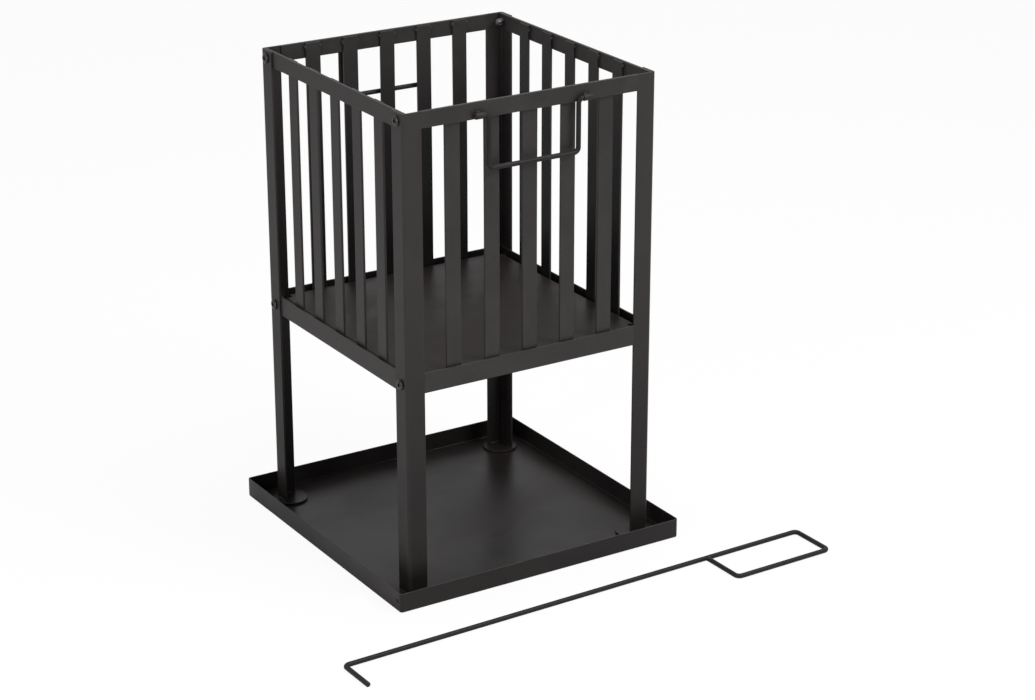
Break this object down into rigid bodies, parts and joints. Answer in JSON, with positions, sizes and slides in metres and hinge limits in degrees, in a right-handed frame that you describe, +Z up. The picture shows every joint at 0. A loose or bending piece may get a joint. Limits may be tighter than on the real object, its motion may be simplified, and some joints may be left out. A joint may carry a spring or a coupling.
{
  "type": "fire basket",
  "caption": "Square slatted steel fire basket on angle legs, with a loose fire plate, bail handles, an ash tray and a bent-rod poker.",
  "frame": {"origin": "middle of the ash tray's underside, on the ground", "axes": "+Z up; -Y is the front, with a bail handle; -X and +X are the bolted side panels; the poker lies along X in front of the tray"},
  "size_m": [0.6599, 0.5392, 0.6],
  "materials": {
    "black_coat": "satin black powder coat",
    "sheet_coat": "satin black powder coat on sheet steel",
    "rod_coat": "satin black powder coat on round rod",
    "zinc": "dull zinc plating"
  },
  "bodies": {
    "tray": {"ash_tray": "sheet_coat"},
    "basket": {"leg_front_left": "black_coat", "leg_front_right": "black_coat", "leg_back_left": "black_coat", "leg_back_right": "black_coat", "foot_front_left": "black_coat", "foot_front_right": "black_coat", "foot_back_left": "black_coat", "foot_back_right": "black_coat", "top_rail_front": "black_coat", "top_rail_back": "black_coat", "top_rail_left": "black_coat", "top_rail_right": "black_coat", "low_rail_front": "black_coat", "low_rail_back": "black_coat", "low_rail_left": "black_coat", "low_rail_right": "black_coat", "bar_front_1": "black_coat", "bar_front_2": "black_coat", "bar_front_3": "black_coat", "bar_front_4": "black_coat", "bar_front_5": "black_coat", "bar_back_1": "black_coat", "bar_back_2": "black_coat", "bar_back_3": "black_coat", "bar_back_4": "black_coat", "bar_back_5": "black_coat", "bar_left_1": "black_coat", "bar_left_2": "black_coat", "bar_left_3": "black_coat", "bar_left_4": "black_coat", "bar_left_5": "black_coat", "bar_right_1": "black_coat", "bar_right_2": "black_coat", "bar_right_3": "black_coat", "bar_right_4": "black_coat", "bar_right_5": "black_coat", "sleeve_front_left": "black_coat", "sleeve_front_right": "black_coat", "sleeve_back_left": "black_coat", "sleeve_back_right": "black_coat", "panel_bolts": "black_coat", "panel_nuts": "zinc"},
    "plate": {"fire_plate": "sheet_coat"},
    "front_handle": {"handle_front": "rod_coat"},
    "back_handle": {"handle_back": "rod_coat"},
    "poker": {"poker": "rod_coat"}
  },
  "joints": [
    {"name": "basket_lift", "type": "slide", "parent": "tray", "child": "basket", "axis": [0, 0, 1], "range_m": [0, 0.3]},
    {"name": "plate_lift", "type": "slide", "parent": "basket", "child": "plate", "axis": [0, 0, 1], "range_m": [0, 0.36]},
    {"name": "front_handle_swing", "type": "hinge", "parent": "basket", "child": "front_handle", "pos_m": [0, -0.1762, 0.585], "axis": [-1, 0, 0], "range_deg": [-4, 183]},
    {"name": "back_handle_swing", "type": "hinge", "parent": "basket", "child": "back_handle", "pos_m": [0, 0.1762, 0.585], "axis": [1, 0, 0], "range_deg": [-4, 183]},
    {"name": "poker_lift", "type": "slide", "parent": "tray", "child": "poker", "axis": [0, 0, 1], "range_m": [0, 0.3]}
  ]
}
